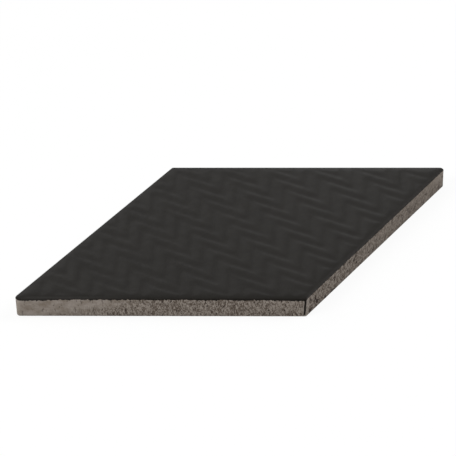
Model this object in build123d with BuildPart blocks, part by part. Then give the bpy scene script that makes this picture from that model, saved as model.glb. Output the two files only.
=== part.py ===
import os
from math import ceil, cos, floor, hypot, radians, sin, tan

from build123d import *

# One dry-pressed, glazed wall and floor tile in the shape of a rhombus, lying on its back.
# X runs along the long diagonal, Y along the short one, and Z = 0 is the plane of the back.
# All sizes are in millimetres and degrees.

# Outline of the glazed face, before its corners are rounded
EDGE = 140.0
ACUTE_ANGLE = 60.0
ACUTE_CORNER_RADIUS = 2.0
OBTUSE_CORNER_RADIUS = 1.0

# Section: the face is highest on the crests of its relief and lowest at its rim
THICKNESS = 10.6
RIM_DROP = 0.3
SIDE_DRAFT = 1.0
FACE_ARRIS_RADIUS = 0.7
BACK_ARRIS_RADIUS = 0.7

# Plain margin: a narrow level rim, then a slope up to where the relief has its full height
RIM_WIDTH = 0.1
MARGIN_SLOPE_WIDTH = 3.0

# Relief: rows of rounded waves, bent to and fro along the long diagonal
ZIGZAG_PITCH = 20.0
ROW_PITCH = 13.6
STROKE_ANGLE = 60.0
RELIEF_DEPTH = 0.15
RELIEF_SHIFT = 1.4

# Back: straight keying grooves for the adhesive, inside a plain border
GROOVE_PITCH = 14.0
GROOVE_WIDTH = 5.0
GROOVE_DEPTH = 0.6
GROOVE_WALL_DRAFT = 35.0
BACK_BORDER = 9.0

half_angle = radians(ACUTE_ANGLE / 2)
half_long_diagonal = EDGE * cos(half_angle)
half_short_diagonal = EDGE * sin(half_angle)
half_height = EDGE * sin(2 * half_angle) / 2
rim_level = THICKNESS - RIM_DROP


def rhombus(inset):
    """Sharp rhombus, drawn in the sketch that is open, with its edges moved in by inset."""
    tip = half_long_diagonal - inset / sin(half_angle)
    side = half_short_diagonal - inset / cos(half_angle)
    with BuildLine() as outline:
        Polyline((tip, 0), (0, side), (-tip, 0), (0, -side), close=True)
    make_face(outline.line)


def rounded_rhombus(inset):
    """The same rhombus with the tile's corner radii."""
    rhombus(inset)
    fillet(vertices().group_by(Axis.Y)[1], ACUTE_CORNER_RADIUS)
    across_short = vertices().group_by(Axis.Y)
    fillet(across_short[0] + across_short[-1], OBTUSE_CORNER_RADIUS)


# Waves of the relief: one wave profile is drawn across the tile wherever the rows turn, and
# pushed along a stroke to the next turn, so that neighbouring strokes meet in a mitre
stroke_run = ZIGZAG_PITCH / 2
stroke_rise = stroke_run * tan(radians(STROKE_ANGLE))
strokes_each_side = ceil(half_long_diagonal / stroke_run)
strokes_each_side += strokes_each_side % 2
wave_count = ceil((2 * half_short_diagonal + stroke_rise) / ROW_PITCH) + 2
wave_mid_level = THICKNESS - RELIEF_DEPTH / 2
wave_amplitude = RELIEF_DEPTH / 2


def wave_profile(row_offset):
    """Crests and troughs of all the rows in section, as arcs that run into each other."""
    first_crest = row_offset - ROW_PITCH * (wave_count // 2)
    start = first_crest - ROW_PITCH / 4
    end = start + wave_count * ROW_PITCH
    with BuildLine() as section:
        for row in range(wave_count):
            rising = start + row * ROW_PITCH
            falling = rising + ROW_PITCH / 2
            crest = (rising + ROW_PITCH / 4, wave_mid_level + wave_amplitude)
            trough = (falling + ROW_PITCH / 4, wave_mid_level - wave_amplitude)
            ThreePointArc((rising, wave_mid_level), crest, (falling, wave_mid_level))
            ThreePointArc((falling, wave_mid_level), trough, (rising + ROW_PITCH, wave_mid_level))
        Polyline((end, wave_mid_level), (end, 0), (start, 0), (start, wave_mid_level))
    make_face(section.line)


turns = range(-strokes_each_side, strokes_each_side, 2)
stroke_length = hypot(stroke_run, stroke_rise)

with BuildPart() as waves:
    with BuildSketch(*[Plane.YZ.offset(turn * stroke_run) for turn in turns]):
        wave_profile(RELIEF_SHIFT)
    extrude(amount=stroke_length, dir=(stroke_run, -stroke_rise, 0))
    with BuildSketch(*[Plane.YZ.offset((turn + 1) * stroke_run) for turn in turns]):
        wave_profile(RELIEF_SHIFT - stroke_rise)
    extrude(amount=stroke_length, dir=(stroke_run, stroke_rise, 0))

# Crown of the face: the waves, let down to the rim by the sloping margin. The sharp corners of
# the margin's foot stand RIM_WIDTH inside the rounded corners of the rim, and the slope is carried
# on as far again above the crests, so that it cuts every wave
corner_cut = ACUTE_CORNER_RADIUS * (1 - sin(half_angle))
slope_foot = corner_cut + FACE_ARRIS_RADIUS + RIM_WIDTH

with BuildPart() as crown:
    with BuildSketch(Plane.XY.offset(rim_level)):
        rhombus(slope_foot)
    with BuildSketch(Plane.XY.offset(THICKNESS + RIM_DROP)):
        rhombus(slope_foot + 2 * MARGIN_SLOPE_WIDTH)
    loft(ruled=True)
    add(waves.part, mode=Mode.INTERSECT)

# Keying grooves, parallel to one pair of edges, with a land along the middle of the back
groove_reach = half_height - BACK_BORDER - GROOVE_WIDTH / 2
grooves_each_side = floor(groove_reach / GROOVE_PITCH + 0.5)

with BuildPart() as tile:
    with BuildSketch():
        rounded_rhombus(0)
    extrude(amount=rim_level)
    draft(tile.faces().group_by(Axis.Z)[1], Plane.XY.offset(rim_level), -SIDE_DRAFT)
    fillet(tile.edges().group_by(Axis.Z)[-1], FACE_ARRIS_RADIUS)
    fillet(tile.edges().group_by(Axis.Z)[0], BACK_ARRIS_RADIUS)
    with BuildSketch():
        with Locations(Rotation(0, 0, -ACUTE_ANGLE / 2)):
            with GridLocations(0, GROOVE_PITCH, 1, 2 * grooves_each_side):
                Rectangle(2 * EDGE, GROOVE_WIDTH)
        with BuildSketch(mode=Mode.INTERSECT):
            rhombus(BACK_BORDER)
    extrude(amount=GROOVE_DEPTH, taper=GROOVE_WALL_DRAFT, mode=Mode.SUBTRACT)
    add(crown.part)

tile.part.label = "rhombus_tile"
os.makedirs("parts", exist_ok=True)
export_step(tile.part, "parts/rhombus_tile.step")
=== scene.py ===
from math import cos, pi, radians, sin, tan

import bpy
import numpy as np
from mathutils import Euler, Matrix, Vector


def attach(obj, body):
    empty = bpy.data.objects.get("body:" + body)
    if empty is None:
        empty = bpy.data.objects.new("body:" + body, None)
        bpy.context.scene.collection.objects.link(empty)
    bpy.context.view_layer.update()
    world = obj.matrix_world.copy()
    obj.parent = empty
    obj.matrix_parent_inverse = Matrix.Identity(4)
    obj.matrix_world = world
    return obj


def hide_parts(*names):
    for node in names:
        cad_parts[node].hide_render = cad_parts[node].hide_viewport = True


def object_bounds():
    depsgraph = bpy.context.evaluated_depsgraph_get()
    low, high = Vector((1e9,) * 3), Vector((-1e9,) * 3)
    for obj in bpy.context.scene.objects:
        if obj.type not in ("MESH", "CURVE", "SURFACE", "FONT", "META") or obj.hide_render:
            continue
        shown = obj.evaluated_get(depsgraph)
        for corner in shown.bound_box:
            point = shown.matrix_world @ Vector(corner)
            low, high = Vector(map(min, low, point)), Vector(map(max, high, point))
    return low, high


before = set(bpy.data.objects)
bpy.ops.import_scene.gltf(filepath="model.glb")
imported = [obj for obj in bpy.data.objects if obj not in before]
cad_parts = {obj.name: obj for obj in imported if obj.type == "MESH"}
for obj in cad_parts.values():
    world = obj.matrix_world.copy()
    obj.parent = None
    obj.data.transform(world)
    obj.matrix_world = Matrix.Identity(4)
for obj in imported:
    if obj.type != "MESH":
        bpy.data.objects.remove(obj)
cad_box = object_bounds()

# The clay blank: a rhombus of dry clay powder, pressed hard in a steel die with rounded corners.
# Its sides lean in a little so that it leaves the die, and its edges come out softly rounded.
# It lies on its back at z = 0, with x along the long diagonal and y along the short one.
EDGE = 0.140
HALF_ANGLE = radians(30)
ACUTE_CORNER_RADIUS = 0.0020
OBTUSE_CORNER_RADIUS = 0.0010
RIM_LEVEL = 0.0103
SIDE_DRAFT = radians(1)
FACE_ARRIS_RADIUS = 0.0007
FACE_ROLL_ANGLE = radians(6)
BACK_ARRIS_RADIUS = 0.0007
CELLS_PER_EDGE = 176
FACE_ARRIS_STEPS = 6
BACK_ARRIS_STEPS = 4
SIDE_ROW_SPACING = 0.0005

half_height = EDGE * sin(2 * HALF_ANGLE) / 2
face_inset = FACE_ARRIS_RADIUS * (1 - sin(FACE_ROLL_ANGLE))
front_edge_way = np.array([cos(HALF_ANGLE), -sin(HALF_ANGLE)])
left_edge_way = np.array([cos(HALF_ANGLE), sin(HALF_ANGLE)])


def round_corner(places, along_front, along_left, ring, inset, corner, half_angle, radius):
    """Moves the points of each ring that lie near one corner onto that corner's arc."""
    outward = corner[0] * front_edge_way + corner[1] * left_edge_way
    outward = outward / np.linalg.norm(outward)
    sideways = np.array([-outward[1], outward[0]])
    arc = np.maximum(radius - inset, 0)
    tangent_length = arc / tan(half_angle)
    from_corner = 2 * ring - corner[0] * along_front - corner[1] * along_left
    near = (from_corner < tangent_length) & (arc > 0)
    tip = ring[:, None] * (corner[0] * front_edge_way + corner[1] * left_edge_way)
    lean = np.sign(places @ sideways) * (pi / 2 - half_angle)
    lean = lean * from_corner / np.maximum(tangent_length, 1e-9)
    centre = tip - outward * (arc / sin(half_angle))[:, None]
    on_arc = centre + arc[:, None] * (np.cos(lean)[:, None] * outward + np.sin(lean)[:, None] * sideways)
    places[near] = on_arc[near]


def outline_places(along_front, along_left, inset):
    """Plan places of points given along the two edges, on rings that follow the rounded outline."""
    ring = np.maximum(abs(along_front), abs(along_left))
    places = along_front[:, None] * front_edge_way + along_left[:, None] * left_edge_way
    net = (along_front, along_left, ring, inset)
    for corner in ((1, 1), (-1, -1)):
        round_corner(places, *net, corner, HALF_ANGLE, ACUTE_CORNER_RADIUS)
    for corner in ((1, -1), (-1, 1)):
        round_corner(places, *net, corner, pi / 2 - HALF_ANGLE, OBTUSE_CORNER_RADIUS)
    return places


def flat_grid(inset):
    """Square net of points, stretched over the rhombus inside the given inset."""
    steps = np.linspace(-1, 1, CELLS_PER_EDGE + 1) * (EDGE / 2 - inset / sin(2 * HALF_ANGLE))
    along_front, along_left = (axis.ravel() for axis in np.meshgrid(steps, steps, indexing="ij"))
    ring = np.maximum(abs(along_front), abs(along_left))
    return outline_places(along_front, along_left, half_height - ring * sin(2 * HALF_ANGLE))


def grid_border():
    """Numbers of the net's outer points, once round the rhombus."""
    last = CELLS_PER_EDGE
    number = np.arange((last + 1) ** 2).reshape(last + 1, last + 1)
    return np.concatenate([number[:-1, 0], number[-1, :-1], number[:0:-1, -1], number[0, :0:-1]])


def side_profile():
    """Inset and height of each row of points between the face's border and the back's."""
    turn = np.linspace(FACE_ROLL_ANGLE, pi / 2, FACE_ARRIS_STEPS + 1)[1:]
    top = RIM_LEVEL - FACE_ARRIS_RADIUS * cos(FACE_ROLL_ANGLE)
    rows = [(FACE_ARRIS_RADIUS * (1 - sin(a)), top + FACE_ARRIS_RADIUS * cos(a)) for a in turn]
    side_steps = round((top - BACK_ARRIS_RADIUS) / SIDE_ROW_SPACING)
    for height in np.linspace(top, BACK_ARRIS_RADIUS, side_steps + 1)[1:]:
        rows.append(((top - height) * tan(SIDE_DRAFT), height))
    foot = rows[-1][0]
    for a in np.linspace(0, pi / 2, BACK_ARRIS_STEPS + 1)[1:-1]:
        rows.append((foot + BACK_ARRIS_RADIUS * (1 - cos(a)), BACK_ARRIS_RADIUS * (1 - sin(a))))
    return rows, foot + BACK_ARRIS_RADIUS


def blank_mesh():
    """Closed skin of the blank: a net over the face, rows round the sides and a net over the back."""
    rows, back_inset = side_profile()
    face = flat_grid(face_inset)
    back = flat_grid(back_inset)
    border = grid_border()
    grid_points = len(face)
    steps = np.linspace(-1, 1, CELLS_PER_EDGE + 1)
    net_front, net_left = (axis.ravel()[border] for axis in np.meshgrid(steps, steps, indexing="ij"))
    points = [np.column_stack([face, np.full(grid_points, RIM_LEVEL)])]
    for inset, height in rows:
        half = EDGE / 2 - inset / sin(2 * HALF_ANGLE)
        ring = outline_places(net_front * half, net_left * half, np.full(len(border), inset))
        points.append(np.column_stack([ring, np.full(len(border), height)]))
    points.append(np.column_stack([back, np.zeros(grid_points)]))
    last = CELLS_PER_EDGE + 1
    number = np.arange(grid_points).reshape(last, last)
    cells = [number[:-1, :-1], number[1:, :-1], number[1:, 1:], number[:-1, 1:]]
    cells = np.stack([corner.ravel() for corner in cells], axis=1)
    first_back = grid_points + len(rows) * len(border)
    rings = [border]
    rings += [grid_points + row * len(border) + np.arange(len(border)) for row in range(len(rows))]
    rings += [first_back + border]
    faces = [cells, first_back + cells[:, ::-1]]
    for upper, lower in zip(rings, rings[1:]):
        faces.append(np.column_stack([upper, lower, np.roll(lower, -1), np.roll(upper, -1)]))
    mesh = bpy.data.meshes.new("rhombus_tile_skin")
    mesh.from_pydata(np.concatenate(points).tolist(), [], np.concatenate(faces).tolist())
    return mesh


tile = bpy.data.objects.new("rhombus_tile_fired", blank_mesh())
bpy.context.scene.collection.objects.link(tile)


# The pressing: the upper punch of the die leaves rows of soft waves on the face, bent into zigzags
# and let down to a plain margin, and the lower punch leaves straight grooves on the back that key
# into the adhesive. The glaze is poured on afterwards and ends in an uneven bead round the sides.
LEVEL_SLACK = 1e-6
SLOW_WANDER_SIZE = 0.030
QUICK_WANDER_SIZE = 0.004
FRONT_START = (0.002, -0.001)
FRONT_FALL_START = 0.65
LEFT_FALL_START = 0.78
EVEN_SIDE_WANDER = 0.4
GLAZE_STEP = 0.00015
BEAD_START = 0.3
CLAY_LUMP_SIZE = 0.0022

front_corner_y = -EDGE * sin(HALF_ANGLE)
left_corner_x = -EDGE * cos(HALF_ANGLE)


def add_node(tree, kind, **settings):
    """One node of the tree, with its settings."""
    node = tree.nodes.new(kind)
    for name, value in settings.items():
        setattr(node, name, value)
    return node


def feed(tree, node, **values):
    """Links sockets or sets values on a node's inputs, which are named with _ for a space."""
    for name, value in values.items():
        socket = node.inputs[name.replace("_", " ")]
        if isinstance(value, bpy.types.NodeSocket):
            tree.links.new(value, socket)
        else:
            socket.default_value = value
    return node


def calc(tree, operation, *values):
    """One Math node, fed with sockets or numbers in turn."""
    node = add_node(tree, "ShaderNodeMath", operation=operation)
    for socket, value in zip(node.inputs, values):
        if isinstance(value, bpy.types.NodeSocket):
            tree.links.new(value, socket)
        else:
            socket.default_value = value
    return node.outputs[0]


def ramp(tree, value, low, high, to_low=0.0, to_high=1.0, kind="SMOOTHSTEP"):
    """Map Range from low..high to to_low..to_high, held at both ends."""
    node = add_node(tree, "ShaderNodeMapRange", interpolation_type=kind)
    feed(tree, node, Value=value, From_Min=low, From_Max=high, To_Min=to_low, To_Max=to_high)
    return node.outputs["Result"]


def noise(tree, places, size, detail=2.0, roughness=0.5):
    """Noise from 0 to 1 whose lumps are about size metres across."""
    node = add_node(tree, "ShaderNodeTexNoise")
    feed(tree, node, Vector=places, Scale=1 / size, Detail=detail, Roughness=roughness)
    return node.outputs[0]


pressing = bpy.data.node_groups.new("die_pressing", "GeometryNodeTree")
pressing_sizes = {
    "Zigzag Pitch": 0.0200,
    "Row Pitch": 0.0136,
    "Zigzag Rise": 0.0100 * tan(radians(60)),
    "Relief Shift": 0.0014,
    "Turn Sharpness": 0.975,
    "Relief Depth": 0.00015,
    "Relief Skew": 0.40,
    "Rim Drop": 0.0003,
    "Roll Width": 0.0060,
    "Roll Blend": 0.00008,
    "Groove Pitch": 0.0140,
    "Groove Width": 0.0050,
    "Groove Depth": 0.0006,
    "Groove Wall": 0.0004,
    "Back Border": 0.0090,
    "Glaze Reach": 0.00042,
    "Front Fall": 0.00022,
    "Corner Fall": 0.00055,
    "Glaze Wander": 0.0007,
    "Glaze Bead": 0.0001,
    "Clay Roughness": 0.00012,
}
pressing.interface.new_socket("Blank", in_out="INPUT", socket_type="NodeSocketGeometry")
for size_name in pressing_sizes:
    pressing.interface.new_socket(size_name, in_out="INPUT", socket_type="NodeSocketFloat")
pressing.interface.new_socket("Finish", in_out="INPUT", socket_type="NodeSocketMaterial")
pressing.interface.new_socket("Tile", in_out="OUTPUT", socket_type="NodeSocketGeometry")

given = add_node(pressing, "NodeGroupInput").outputs
place = add_node(pressing, "GeometryNodeInputPosition").outputs[0]
outward = add_node(pressing, "GeometryNodeInputNormal").outputs[0]
place_parts = add_node(pressing, "ShaderNodeSeparateXYZ")
pressing.links.new(place, place_parts.inputs[0])
across_x, across_y, height = place_parts.outputs

# Distances in plan: in from the outline, and across the back's grooves
lean_x = calc(pressing, "MULTIPLY", across_x, sin(HALF_ANGLE))
lean_y = calc(pressing, "MULTIPLY", across_y, cos(HALF_ANGLE))
off_x = calc(pressing, "ABSOLUTE", lean_x)
off_y = calc(pressing, "ABSOLUTE", lean_y)
from_middle = calc(pressing, "ADD", off_x, off_y)
from_outline = calc(pressing, "SUBTRACT", half_height, from_middle)
across_grooves = calc(pressing, "ADD", lean_x, lean_y)

# Zigzag waves of the face
full_turns = calc(pressing, "MULTIPLY", across_x, 2 * pi)
turn_angle = calc(pressing, "DIVIDE", full_turns, given["Zigzag Pitch"])
turn_wave = calc(pressing, "MULTIPLY", calc(pressing, "COSINE", turn_angle), given["Turn Sharpness"])
soft_turn = calc(pressing, "DIVIDE", calc(pressing, "ARCSINE", turn_wave), given["Turn Sharpness"])
zigzag = calc(pressing, "MULTIPLY", soft_turn, calc(pressing, "DIVIDE", given["Zigzag Rise"], pi))
row_middle = calc(pressing, "MULTIPLY_ADD", given["Zigzag Rise"], -0.5, given["Relief Shift"])
from_row = calc(pressing, "SUBTRACT", calc(pressing, "SUBTRACT", across_y, row_middle), zigzag)
wave_angle = calc(pressing, "DIVIDE", calc(pressing, "MULTIPLY", from_row, 2 * pi), given["Row Pitch"])
lean = calc(pressing, "MULTIPLY", calc(pressing, "SINE", turn_angle), given["Relief Skew"])
lean_back = calc(pressing, "MULTIPLY", calc(pressing, "COSINE", wave_angle), lean)
skewed_angle = calc(pressing, "SUBTRACT", wave_angle, lean_back)
wave = calc(pressing, "COSINE", skewed_angle)
half_depth = calc(pressing, "MULTIPLY", given["Relief Depth"], 0.5)
wave_middle = calc(pressing, "SUBTRACT", given["Rim Drop"], half_depth)
full_relief = calc(pressing, "MULTIPLY_ADD", wave, half_depth, wave_middle)
into_roll = calc(pressing, "SUBTRACT", from_outline, face_inset)
roll_share = calc(pressing, "DIVIDE", into_roll, given["Roll Width"])
roll_left = calc(pressing, "SUBTRACT", 1.0, calc(pressing, "MINIMUM", roll_share, 1.0))
roll_fall = calc(pressing, "MULTIPLY", calc(pressing, "MULTIPLY", roll_left, roll_left), given["Rim Drop"])
rolled_face = calc(pressing, "SUBTRACT", given["Rim Drop"], roll_fall)
relief_lift = calc(pressing, "SMOOTH_MIN", full_relief, rolled_face, given["Roll Blend"])
on_face = calc(pressing, "GREATER_THAN", height, RIM_LEVEL - LEVEL_SLACK)
face_lift = calc(pressing, "MULTIPLY", calc(pressing, "MAXIMUM", relief_lift, 0.0), on_face)

# Keying grooves of the back
half_pitch = calc(pressing, "MULTIPLY", given["Groove Pitch"], 0.5)
from_land = calc(pressing, "PINGPONG", across_grooves, half_pitch)
land_width = calc(pressing, "SUBTRACT", given["Groove Pitch"], given["Groove Width"])
groove_mouth = calc(pressing, "MULTIPLY", land_width, 0.5)
groove_floor = calc(pressing, "ADD", groove_mouth, given["Groove Wall"])
in_groove = ramp(pressing, from_land, groove_mouth, groove_floor, kind="LINEAR")
border_end = calc(pressing, "ADD", given["Back Border"], given["Groove Wall"])
inside_border = ramp(pressing, from_outline, given["Back Border"], border_end, kind="LINEAR")
on_back = calc(pressing, "LESS_THAN", height, LEVEL_SLACK)
groove = calc(pressing, "MULTIPLY", calc(pressing, "MINIMUM", in_groove, inside_border), on_back)
back_lift = calc(pressing, "MULTIPLY", groove, given["Groove Depth"])

# Lower edge of the glaze round the sides, and the small bead it ends in
slow_wander = noise(pressing, place, SLOW_WANDER_SIZE, 1.0)
quick_wander = noise(pressing, place, QUICK_WANDER_SIZE, 2.0)
wander = calc(pressing, "SUBTRACT", calc(pressing, "ADD", quick_wander, slow_wander), 1.0)
left_half = ramp(pressing, across_x, *FRONT_START)
near_half = ramp(pressing, across_y, *FRONT_START)
front_side = calc(pressing, "MULTIPLY", left_half, near_half)
to_front_corner = ramp(pressing, across_y, FRONT_FALL_START * front_corner_y, front_corner_y)
to_left_corner = ramp(pressing, across_x, LEFT_FALL_START * left_corner_x, left_corner_x)
to_corner = calc(pressing, "MAXIMUM", to_front_corner, to_left_corner)
fall = calc(pressing, "MULTIPLY_ADD", to_corner, given["Corner Fall"], given["Front Fall"])
glaze_mean = calc(pressing, "MULTIPLY_ADD", front_side, fall, given["Glaze Reach"])
wander_share = calc(pressing, "MULTIPLY_ADD", front_side, 1 - EVEN_SIDE_WANDER, EVEN_SIDE_WANDER)
unevenness = calc(pressing, "MULTIPLY", given["Glaze Wander"], wander_share)
glaze_end = calc(pressing, "MULTIPLY_ADD", wander, unevenness, glaze_mean)
glaze_line = calc(pressing, "SUBTRACT", RIM_LEVEL, glaze_end)
over_line = calc(pressing, "SUBTRACT", height, glaze_line)
under_glaze = ramp(pressing, over_line, -GLAZE_STEP, GLAZE_STEP)
on_side = calc(pressing, "SUBTRACT", 1.0, calc(pressing, "ADD", on_face, on_back))
bead_start = RIM_LEVEL - BEAD_START * FACE_ARRIS_RADIUS
bead_rise = ramp(pressing, height, bead_start, RIM_LEVEL - FACE_ARRIS_RADIUS)
bead = calc(pressing, "MULTIPLY", calc(pressing, "MULTIPLY", under_glaze, bead_rise), given["Glaze Bead"])

# Sandy unevenness of the bare sides
clay_lumps = calc(pressing, "SUBTRACT", noise(pressing, place, CLAY_LUMP_SIZE, 3.0, 0.6), 0.5)
bare_side = calc(pressing, "MULTIPLY", calc(pressing, "SUBTRACT", 1.0, under_glaze), on_side)
bare_lumps = calc(pressing, "MULTIPLY", clay_lumps, bare_side)
grain = calc(pressing, "MULTIPLY", bare_lumps, given["Clay Roughness"])

lift = add_node(pressing, "ShaderNodeCombineXYZ")
feed(pressing, lift, Z=calc(pressing, "ADD", face_lift, back_lift))
swell = add_node(pressing, "ShaderNodeVectorMath", operation="SCALE")
pressing.links.new(outward, swell.inputs[0])
pressing.links.new(calc(pressing, "ADD", bead, grain), swell.inputs["Scale"])
shift = add_node(pressing, "ShaderNodeVectorMath", operation="ADD")
pressing.links.new(lift.outputs[0], shift.inputs[0])
pressing.links.new(swell.outputs[0], shift.inputs[1])

mark_glaze = add_node(pressing, "GeometryNodeStoreNamedAttribute", data_type="FLOAT", domain="POINT")
feed(pressing, mark_glaze, Geometry=given["Blank"], Name="glaze_line", Value=glaze_line)
press = add_node(pressing, "GeometryNodeSetPosition")
feed(pressing, press, Geometry=mark_glaze.outputs[0], Offset=shift.outputs[0])
smooth = add_node(pressing, "GeometryNodeSetShadeSmooth")
feed(pressing, smooth, Geometry=press.outputs[0])
realize = add_node(pressing, "GeometryNodeRealizeInstances")
feed(pressing, realize, Geometry=smooth.outputs[0])
dress = add_node(pressing, "GeometryNodeSetMaterial")
feed(pressing, dress, Geometry=realize.outputs[0], Material=given["Finish"])
pressing.links.new(dress.outputs[0], add_node(pressing, "NodeGroupOutput").inputs[0])


# The finish: matte black glaze over the face and its rounded edge, and below it the bare clay, a warm
# grey-brown stoneware with dark iron specks, pale grains and small pits, wiped smoother at both ends.
GLAZE_BLACK = (0.0053, 0.0040, 0.0025, 1)
GLAZE_THIN = (0.0070, 0.0055, 0.0038, 1)
# Painted highlight: paler glaze laid on the rounded near edge where it catches the light
GLAZE_EDGE_HIGHLIGHT = (0.0210, 0.0190, 0.0170, 1)
CLAY_DARK = (0.082, 0.063, 0.049, 1)
CLAY_PALE = (0.255, 0.222, 0.192, 1)
IRON_SPECK = (0.035, 0.025, 0.020, 1)
# Paler clay of the wiped ends: smoother clay, and partly painted light, paler toward the left end as if
# lit from the left
WIPED_DARK = (0.168, 0.139, 0.111, 1)
WIPED_PALE = (0.272, 0.239, 0.211, 1)
# Painted contact shadow: grey laid on the clay just above the back edge, where the tile meets the floor
FOOT_SHADE_COLOUR = (0.115, 0.110, 0.100, 1)
CLAY_DULLNESS = 0.92
FACE_DULLNESS = (0.34, 0.42)
DRY_GLAZE_DULLNESS = 0.95
SPECULAR_LEVEL = 0.2
CLOUD_SPAN = (0.3, 0.7)
SHARP_ANGLE = radians(40)

finish = bpy.data.materials.new("glazed_stoneware")
finish.use_nodes = True
paint = finish.node_tree
paint.nodes.clear()
spot = add_node(paint, "ShaderNodeTexCoord").outputs["Object"]
spot_parts = add_node(paint, "ShaderNodeSeparateXYZ")
paint.links.new(spot, spot_parts.inputs[0])
spot_x, spot_y, spot_z = spot_parts.outputs


def blend(tree, share, first, second):
    """Mix of two colours."""
    node = add_node(tree, "ShaderNodeMix", data_type="RGBA")
    for socket, value in zip((node.inputs[0], node.inputs[6], node.inputs[7]), (share, first, second)):
        if isinstance(value, bpy.types.NodeSocket):
            tree.links.new(value, socket)
        else:
            socket.default_value = value
    return node.outputs[2]


def blend_values(tree, share, first, second):
    """Mix of two numbers."""
    node = add_node(tree, "ShaderNodeMix", data_type="FLOAT")
    feed(tree, node, Factor=share, A=first, B=second)
    return node.outputs[0]


# Where the glaze lies: above its ragged lower edge, and in one thin run down the front corner
RAGGED_SIZE = 0.0014
RAGGED_REACH = (0.0003, 0.0018)
GLAZE_EDGE = 0.00006
TOP_GLAZE_SPAN = (RIM_LEVEL - 0.00022, RIM_LEVEL - 0.00014)
RUN_PLACE = -0.00098
RUN_WANDER = 0.0004
RUN_WANDER_SIZE = 0.003
RUN_LEAN = 0.06
RUN_EDGE = (0.00055, 0.00035)
RUN_END = (0.0006, 0.0014)
CORNER_REACH = 0.002

line = add_node(paint, "ShaderNodeAttribute", attribute_name="glaze_line").outputs["Fac"]
raggedness = ramp(paint, spot_x, *FRONT_START, *RAGGED_REACH)
up_and_down = calc(paint, "SUBTRACT", noise(paint, spot, RAGGED_SIZE, 2.0), 0.5)
ragged = calc(paint, "MULTIPLY", up_and_down, raggedness)
above_line = calc(paint, "ADD", calc(paint, "SUBTRACT", spot_z, line), ragged)
on_top = ramp(paint, spot_z, *TOP_GLAZE_SPAN)
poured = calc(paint, "MAXIMUM", ramp(paint, above_line, -GLAZE_EDGE, GLAZE_EDGE), on_top)
run_noise = noise(paint, spot, RUN_WANDER_SIZE, 1.0)
run_wander = calc(paint, "MULTIPLY_ADD", run_noise, RUN_WANDER, RUN_PLACE)
run_centre = calc(paint, "MULTIPLY_ADD", spot_z, RUN_LEAN, run_wander)
past_run = calc(paint, "SUBTRACT", spot_x, run_centre)
beside_run = calc(paint, "ABSOLUTE", past_run)
at_corner = calc(paint, "LESS_THAN", spot_y, CORNER_REACH + front_corner_y)
run_length = calc(paint, "MULTIPLY", at_corner, ramp(paint, spot_z, *RUN_END))
corner_run = calc(paint, "MULTIPLY", ramp(paint, beside_run, *RUN_EDGE), run_length)
glazed = calc(paint, "MAXIMUM", poured, corner_run)

# Bare clay: coarse grain, pits and iron specks, drawn out along the two sides that slid in the die,
# the two ends that were wiped smooth and are painted paler (at the left end this is painted light from the
# left), the front corner that was rubbed pale, and a painted contact shadow along the foot
DRAWN_ALONG = 0.55
DRAWN_UP = 0.45
COARSE_GRAIN_SIZE = 0.0010
FINE_GRAIN_SIZE = 0.0005
FINE_GRAIN_SHARE = 0.7
GRAIN_SPAN = (0.67, 1.03)
SLIDE_SPAN = (0.0, 0.010)
CALM_SPAN = (0.015, 0.085, 0.0, 0.5)
PIT_SIZE = 0.0011
PIT_SPAN = (0.62, 0.69)
SMEARED_ALONG = 0.45
WIPE_MARK_SIZE = 0.0028
WIPE_LEAN = 3.0
# The left wipe also paints the left end paler, standing in for light falling from the left
LEFT_WIPE_AND_LIGHT = (0.085, 0.114, 0.0, 0.85)
RIGHT_WIPE = (0.122, 0.142, 0.0, 0.7)
WIPED_PIT_LOSS = 0.6
RUB_STRETCH = 0.4
RUB_SPAN = (0.0013, 0.0006, 0.0, 0.6)
BACK_EDGE_SPAN = (0.00002, 0.00012)
FOOT_SHADE_SPAN = (0.0008, 0.0003, 0.0, 0.5)

minus_y = calc(paint, "MULTIPLY", spot_y, -1.0)
from_right = calc(paint, "MULTIPLY_ADD", spot_x, tan(HALF_ANGLE), minus_y)
from_front = calc(paint, "MULTIPLY_ADD", spot_x, tan(HALF_ANGLE), spot_y)
drawn = add_node(paint, "ShaderNodeCombineXYZ")
along_right = calc(paint, "MULTIPLY", from_front, DRAWN_ALONG)
feed(paint, drawn, X=from_right, Y=along_right, Z=calc(paint, "MULTIPLY", spot_z, DRAWN_UP))
grain_place = drawn.outputs[0]
coarse = noise(paint, grain_place, COARSE_GRAIN_SIZE, 3.0, 0.65)
fine = noise(paint, grain_place, FINE_GRAIN_SIZE, 2.0, 0.6)
off_middle = calc(paint, "ABSOLUTE", spot_x)
off_right = calc(paint, "ABSOLUTE", from_right)
off_front = calc(paint, "ABSOLUTE", from_front)
slide_depth = calc(paint, "SUBTRACT", off_right, off_front)
on_slid_side = ramp(paint, slide_depth, *SLIDE_SPAN)
calm = calc(paint, "MULTIPLY", on_slid_side, ramp(paint, off_middle, *CALM_SPAN))
both_grains = calc(paint, "MULTIPLY_ADD", fine, FINE_GRAIN_SHARE, coarse)
sharp_grain = ramp(paint, both_grains, *GRAIN_SPAN)
grain_value = blend_values(paint, calm, sharp_grain, 0.5)
pits = ramp(paint, noise(paint, grain_place, PIT_SIZE, 1.0), *PIT_SPAN)
rough_clay = blend(paint, grain_value, CLAY_DARK, CLAY_PALE)
smeared = add_node(paint, "ShaderNodeCombineXYZ")
feed(paint, smeared, X=calc(paint, "MULTIPLY", from_right, SMEARED_ALONG), Y=along_right, Z=spot_z)
wipe_marks = ramp(paint, noise(paint, smeared.outputs[0], WIPE_MARK_SIZE, 4.0, 0.6), *CLOUD_SPAN)
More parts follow.
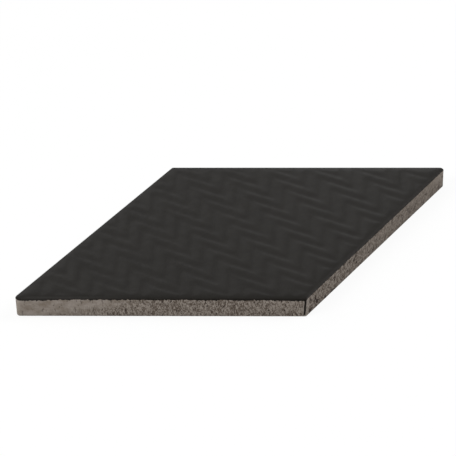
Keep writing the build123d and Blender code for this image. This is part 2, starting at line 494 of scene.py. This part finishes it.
# Paler wiped clay: painted light at the left end, with smoother clay and fewer pits at both ends
wiped_lit_clay = blend(paint, wipe_marks, WIPED_DARK, WIPED_PALE)
minus_x = calc(paint, "MULTIPLY", spot_x, -1.0)
toward_left = calc(paint, "MULTIPLY_ADD", spot_z, WIPE_LEAN, minus_x)
toward_right = calc(paint, "MULTIPLY_ADD", spot_z, WIPE_LEAN, spot_x)
left_wipe_and_light = ramp(paint, toward_left, *LEFT_WIPE_AND_LIGHT)
right_wipe = ramp(paint, toward_right, *RIGHT_WIPE)
wiped_and_lit = calc(paint, "MAXIMUM", left_wipe_and_light, right_wipe)
pit_loss = calc(paint, "MAXIMUM", calm, calc(paint, "MULTIPLY", wiped_and_lit, WIPED_PIT_LOSS))
open_pits = calc(paint, "MULTIPLY", pits, calc(paint, "SUBTRACT", 1.0, pit_loss))
pitted_clay = blend(paint, open_pits, blend(paint, wiped_and_lit, rough_clay, wiped_lit_clay), IRON_SPECK)
right_rub = calc(paint, "MULTIPLY", past_run, RUB_STRETCH)
left_rub = calc(paint, "MULTIPLY", past_run, -1.0)
rub_reach = calc(paint, "MAXIMUM", right_rub, left_rub)
rubbed = calc(paint, "MULTIPLY", ramp(paint, rub_reach, *RUB_SPAN), at_corner)
# Painted contact shadow along the foot, kept off the back face itself
above_back = ramp(paint, spot_z, *BACK_EDGE_SPAN)
foot = calc(paint, "MULTIPLY", above_back, ramp(paint, spot_z, *FOOT_SHADE_SPAN))
clay = blend(paint, foot, blend(paint, rubbed, pitted_clay, WIPED_PALE), FOOT_SHADE_COLOUR)

# The glaze: cloudy on the face, and painted paler along its near rounded edges at the left end and on the
# right, a painted highlight where the rounded edge catches the light
GLAZE_CLOUD_SIZE = 0.012
LEFT_EDGE_HIGHLIGHT_SPAN = (-0.062, -0.105, 0.0, 0.7)
RIGHT_EDGE_HIGHLIGHT_SPAN = (0.000, 0.003, 0.0, 0.55)
EDGE_HIGHLIGHT_SPAN = (RIM_LEVEL + 0.00015, RIM_LEVEL + 0.00003)
NEAR_SPAN = (0.0, -0.003)

glaze_cloud = ramp(paint, noise(paint, spot, GLAZE_CLOUD_SIZE, 4.0, 0.6), *CLOUD_SPAN)
full_glaze = blend(paint, glaze_cloud, GLAZE_BLACK, GLAZE_THIN)
# Painted highlight along the near rounded edge, at the left end and all along the right side
left_edge_highlight = ramp(paint, spot_x, *LEFT_EDGE_HIGHLIGHT_SPAN)
right_edge_highlight = ramp(paint, spot_x, *RIGHT_EDGE_HIGHLIGHT_SPAN)
highlighted_end = calc(paint, "MAXIMUM", left_edge_highlight, right_edge_highlight)
edge_highlight = ramp(paint, spot_z, *EDGE_HIGHLIGHT_SPAN)
highlighted_near_edge = calc(paint, "MULTIPLY", edge_highlight, ramp(paint, spot_y, *NEAR_SPAN))
glaze = blend(paint, calc(paint, "MULTIPLY", highlighted_end, highlighted_near_edge), full_glaze, GLAZE_EDGE_HIGHLIGHT)
colour = blend(paint, glazed, clay, glaze)

# The glaze is satin on the face and dry where it thins out over the edge
DRY_EDGE_SPAN = (RIM_LEVEL - 0.10 * FACE_ARRIS_RADIUS, RIM_LEVEL - 0.45 * FACE_ARRIS_RADIUS)
SATIN_CLOUD_SIZE = 0.004

dry_edge = ramp(paint, spot_z, *DRY_EDGE_SPAN)
face_dullness = ramp(paint, noise(paint, spot, SATIN_CLOUD_SIZE, 3.0), *CLOUD_SPAN, *FACE_DULLNESS)
glaze_dullness = blend_values(paint, dry_edge, face_dullness, DRY_GLAZE_DULLNESS)
dullness = blend_values(paint, glazed, CLAY_DULLNESS, glaze_dullness)

# Fine relief: grains and pits of the clay, and the faint orange peel of the glaze
GRAIN_HEIGHT = 0.6
PEEL_SIZE = 0.0006
PEEL_HEIGHT = 0.06
FINE_RELIEF_STRENGTH = 0.6
FINE_RELIEF_DEPTH = 0.0002

rough_height = calc(paint, "SUBTRACT", calc(paint, "MULTIPLY", grain_value, GRAIN_HEIGHT), pits)
clay_height = calc(paint, "MULTIPLY", rough_height, calc(paint, "SUBTRACT", 1.0, wiped_and_lit))
glaze_height = calc(paint, "MULTIPLY", noise(paint, spot, PEEL_SIZE, 2.0), PEEL_HEIGHT)
fine_relief = blend_values(paint, glazed, clay_height, glaze_height)
bump = add_node(paint, "ShaderNodeBump")
feed(paint, bump, Strength=FINE_RELIEF_STRENGTH, Distance=FINE_RELIEF_DEPTH, Height=fine_relief)

surface = add_node(paint, "ShaderNodeBsdfPrincipled")
feed(paint, surface, Base_Color=colour, Roughness=dullness, Normal=bump.outputs[0])
feed(paint, surface, Specular_IOR_Level=SPECULAR_LEVEL)
paint.links.new(surface.outputs[0], add_node(paint, "ShaderNodeOutputMaterial").inputs["Surface"])

press_step = tile.modifiers.new("die_pressing", "NODES")
press_step.node_group = pressing
for item in pressing.interface.items_tree:
    if item.in_out == "INPUT" and item.name in pressing_sizes:
        press_step[item.identifier] = pressing_sizes[item.name]
    elif item.name == "Finish":
        press_step[item.identifier] = finish
depsgraph = bpy.context.evaluated_depsgraph_get()
fired = bpy.data.meshes.new_from_object(tile.evaluated_get(depsgraph), depsgraph=depsgraph)
tile.modifiers.remove(press_step)
tile.data = fired
fired.set_sharp_from_angle(angle=SHARP_ANGLE)
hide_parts("rhombus_tile")
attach(tile, "root")


# The floor: a wide sheet of white card under the tile, which takes its soft shadow. Where it is seen
# directly or in a gloss it also glows, so that the ground of the picture stays white.
FLOOR_HALF_WIDTH = 6.0
FLOOR_WHITE = (0.92, 0.92, 0.92, 1)
FLOOR_GLOW_SHARE = 0.90

floor_corners = [(-1, -1), (1, -1), (1, 1), (-1, 1)]
floor_mesh = bpy.data.meshes.new("floor_sheet")
floor_places = [(x * FLOOR_HALF_WIDTH, y * FLOOR_HALF_WIDTH, cad_box[0][2]) for x, y in floor_corners]
floor_mesh.from_pydata(floor_places, [], [(0, 1, 2, 3)])
floor = bpy.data.objects.new("floor_sheet", floor_mesh)
bpy.context.scene.collection.objects.link(floor)
floor_white = bpy.data.materials.new("floor_white")
floor_white.use_nodes = True
floor_tree = floor_white.node_tree
floor_tree.nodes.clear()
floor_matt = add_node(floor_tree, "ShaderNodeBsdfDiffuse")
feed(floor_tree, floor_matt, Color=FLOOR_WHITE)
floor_glow = add_node(floor_tree, "ShaderNodeEmission")
floor_mix = add_node(floor_tree, "ShaderNodeMixShader")
light_path = add_node(floor_tree, "ShaderNodeLightPath").outputs
seen = calc(floor_tree, "MAXIMUM", light_path["Is Camera Ray"], light_path["Is Glossy Ray"])
seen = calc(floor_tree, "MAXIMUM", seen, light_path["Is Transmission Ray"])
floor_tree.links.new(calc(floor_tree, "MULTIPLY", seen, FLOOR_GLOW_SHARE), floor_mix.inputs[0])
floor_tree.links.new(floor_matt.outputs[0], floor_mix.inputs[1])
floor_tree.links.new(floor_glow.outputs[0], floor_mix.inputs[2])
floor_end = add_node(floor_tree, "ShaderNodeOutputMaterial")
floor_tree.links.new(floor_mix.outputs[0], floor_end.inputs["Surface"])
floor_mesh.materials.append(floor_white)


# The light: a room whose white walls are bright behind the tile on the left and less so in front, with
# a soft panel in its dim ceiling, one wide soft lamp high up on either side, and a small weak lamp low
# down close behind the tile.
HORIZON_END = (sin(radians(12)), sin(radians(24)))
WALL_END = (sin(radians(30)), sin(radians(58)))
HORIZON_LIGHT = 0.18
WALL_LIGHT = 1.19
CEILING_LIGHT = 0.10
PANEL_EDGE = (sin(radians(62)), sin(radians(88)))
PANEL_LIGHT = 1.8
SIDE_SPAN = (-0.45, 1.0)
BRIGHT_SIDE_SHARE = 1.77
BRIGHT_SIDE_AZIMUTH = radians(-140)
FRONT_SPAN = (-0.1, 0.9)
FRONT_SIDE_SHARE = 0.7
FRONT_SIDE_AZIMUTH = radians(8)
LAMP_DISTANCE = 2.2
LAMP_SIZE = 1.0
LEFT_LAMP = (radians(-88), radians(36), 25.0)
RIGHT_LAMP = (radians(80), radians(42), 23.5)
BACK_LAMP = (radians(143), radians(8), 0.13, 0.70, 0.16)

world = bpy.data.worlds.new("studio")
bpy.context.scene.world = world
world.use_nodes = True
sky = world.node_tree
sky.nodes.clear()
look = add_node(sky, "ShaderNodeTexCoord").outputs["Generated"]
way = add_node(sky, "ShaderNodeSeparateXYZ")
sky.links.new(look, way.inputs[0])
rise = way.outputs["Z"]


def wall_share(azimuth, span, share):
    """Share of the walls' light that one side of the room sends, strongest at an azimuth from -y."""
    toward = add_node(sky, "ShaderNodeVectorMath", operation="DOT_PRODUCT")
    sky.links.new(look, toward.inputs[0])
    toward.inputs[1].default_value = (sin(azimuth), -cos(azimuth), 0.0)
    return ramp(sky, toward.outputs["Value"], *span, 0.0, share)


bright_side = wall_share(BRIGHT_SIDE_AZIMUTH, SIDE_SPAN, BRIGHT_SIDE_SHARE)
front_wall = wall_share(FRONT_SIDE_AZIMUTH, FRONT_SPAN, FRONT_SIDE_SHARE)
side_share = calc(sky, "ADD", bright_side, front_wall)
low_wall = ramp(sky, rise, *HORIZON_END, HORIZON_LIGHT - WALL_LIGHT, 0.0)
high_wall = ramp(sky, rise, *WALL_END, WALL_LIGHT, CEILING_LIGHT)
backdrop = add_node(sky, "ShaderNodeBackground")
walls = calc(sky, "MULTIPLY", calc(sky, "ADD", low_wall, high_wall), side_share)
panel = ramp(sky, rise, *PANEL_EDGE, 0.0, PANEL_LIGHT)
feed(sky, backdrop, Strength=calc(sky, "ADD", walls, panel))
sky.links.new(backdrop.outputs[0], add_node(sky, "ShaderNodeOutputWorld").inputs["Surface"])


def soft_lamp(name, azimuth, elevation, power, distance=LAMP_DISTANCE, size=LAMP_SIZE):
    """Square lamp that faces the tile, at an azimuth from -y and an elevation."""
    toward = Vector((sin(azimuth) * cos(elevation), -cos(azimuth) * cos(elevation), sin(elevation)))
    data = bpy.data.lights.new(name, "AREA")
    data.size = size
    data.energy = power
    lamp = bpy.data.objects.new(name, data)
    lamp.location = toward * distance
    lamp.rotation_euler = (-toward).to_track_quat("-Z", "Y").to_euler()
    bpy.context.scene.collection.objects.link(lamp)


soft_lamp("left_lamp", *LEFT_LAMP)
soft_lamp("right_lamp", *RIGHT_LAMP)
soft_lamp("back_lamp", *BACK_LAMP)


# The camera: a long lens about 1.4 m away, looking down on the tile across its front edge. It is
# aimed a little beside the tile's middle and turned slightly, as in the photograph.
AZIMUTH = radians(-27.215)
ELEVATION = radians(32.263)
ROLL = radians(-1.449)
DISTANCE = 1.3578
AIM_RIGHT = -0.00447
AIM_UP = 0.00998
LENS = 216.68

camera_data = bpy.data.cameras.new("camera")
camera_data.lens = LENS
camera = bpy.data.objects.new("camera", camera_data)
turn = Euler((pi / 2 - ELEVATION, 0, AZIMUTH)).to_matrix() @ Matrix.Rotation(ROLL, 3, "Z")
camera.location = turn @ Vector((AIM_RIGHT, AIM_UP, DISTANCE))
camera.rotation_euler = turn.to_euler()
bpy.context.scene.collection.objects.link(camera)
bpy.context.scene.camera = camera
bpy.context.scene.view_settings.view_transform = "Standard"
